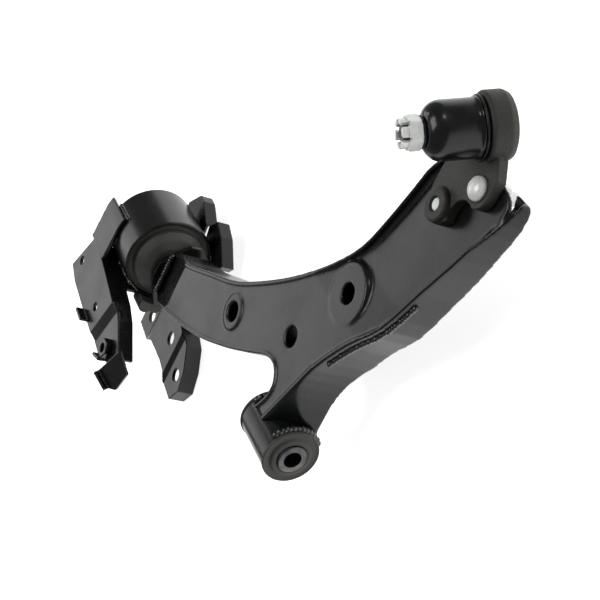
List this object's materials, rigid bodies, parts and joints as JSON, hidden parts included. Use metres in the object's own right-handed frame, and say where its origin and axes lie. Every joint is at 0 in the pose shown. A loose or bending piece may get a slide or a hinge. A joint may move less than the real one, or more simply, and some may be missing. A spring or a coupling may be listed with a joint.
{
  "type": "suspension control arm",
  "caption": "Pressed-steel lower suspension arm with a bonded front bush, a bracketed rear bush and a booted ball joint whose stud swivels.",
  "frame": {"origin": "centre of the front bush bore, midway along the inner sleeve", "axes": "+X along the front bush bore towards the front of the vehicle, +Y outboard to the ball joint, +Z square to the arm's top plate on the ball stud side"},
  "size_m": [0.5047, 0.4775, 0.1426],
  "materials": {
    "black_paint": "gloss black dip paint on pressed steel",
    "painted_weld": "gloss black paint over a weld bead",
    "bush_rubber": "matt black bonded rubber",
    "boot_rubber": "smooth semi-gloss black rubber",
    "forged_black": "matt dark phosphate on a forging",
    "machined_steel": "turned steel with a thin dark coat",
    "zinc_plate": "bright zinc plate",
    "spring_wire": "blackened spring wire",
    "seat_plastic": "natural acetal"
  },
  "bodies": {
    "arm": {"arm_upper_shell": "black_paint", "arm_lower_shell": "black_paint", "arm_seam_weld": "painted_weld", "arm_end_weld": "painted_weld", "front_bush_tube": "black_paint", "front_bush_weld": "painted_weld", "front_bush_rubber": "bush_rubber", "rear_stop_plate": "black_paint", "rear_stub_pin": "black_paint", "rear_inner_sleeve": "machined_steel", "rear_bush_rubber": "bush_rubber", "rear_pin_washer": "zinc_plate", "rear_pin_nut": "zinc_plate", "ball_joint_housing": "forged_black", "ball_joint_end_plug": "forged_black", "ball_seat": "seat_plastic", "boot_base_ring": "spring_wire", "lug_bolt": "zinc_plate", "lug_bolt_nut": "zinc_plate", "lug_screw": "zinc_plate"},
    "front_sleeve": {"front_inner_sleeve": "machined_steel"},
    "rear_bracket": {"rear_bush_shell": "black_paint", "upper_bracket": "black_paint", "lower_bracket": "black_paint", "upper_bracket_weld": "painted_weld", "lower_bracket_weld": "painted_weld", "bracket_weld_nut": "black_paint", "bracket_rim_tab": "bush_rubber"},
    "boot": {"dust_boot": "boot_rubber"},
    "neck_ring": {"boot_neck_ring": "spring_wire"},
    "stud": {"ball_stud": "machined_steel"},
    "nut": {"castle_nut": "zinc_plate"}
  },
  "joints": [
    {"name": "front_bush_twist", "type": "hinge", "parent": "arm", "child": "front_sleeve", "pos_m": [0, 0, 0], "axis": [1, 0, 0], "range_deg": [-25, 25], "stiffness_Nm_per_rad": 40},
    {"name": "rear_bush_twist", "type": "hinge", "parent": "arm", "child": "rear_bracket", "pos_m": [-0.3155, -0.017, 0.002], "axis": [1, 0, 0], "range_deg": [-20, 20], "stiffness_Nm_per_rad": 90},
    {"name": "stud_tilt_inboard", "type": "hinge", "parent": "arm", "child": "boot", "pos_m": [0.08, 0.312, 0.024], "axis": [0.9903, 0, 0.1392], "range_deg": [-22, 22], "deforming": ["dust_boot"]},
    {"name": "stud_tilt_forward", "type": "hinge", "parent": "boot", "child": "neck_ring", "pos_m": [0.08, 0.312, 0.024], "axis": [-0.0588, 0.9063, 0.4185], "range_deg": [-22, 22], "deforming": ["dust_boot"]},
    {"name": "stud_spin", "type": "hinge", "parent": "neck_ring", "child": "stud", "pos_m": [0.08, 0.312, 0.024], "axis": [-0.1261, -0.4226, 0.8975], "continuous": true},
    {"name": "nut_turn", "type": "hinge", "parent": "stud", "child": "nut", "pos_m": [0.07332, 0.2896, 0.07157], "axis": [-0.1261, -0.4226, 0.8975], "continuous": true}
  ]
}
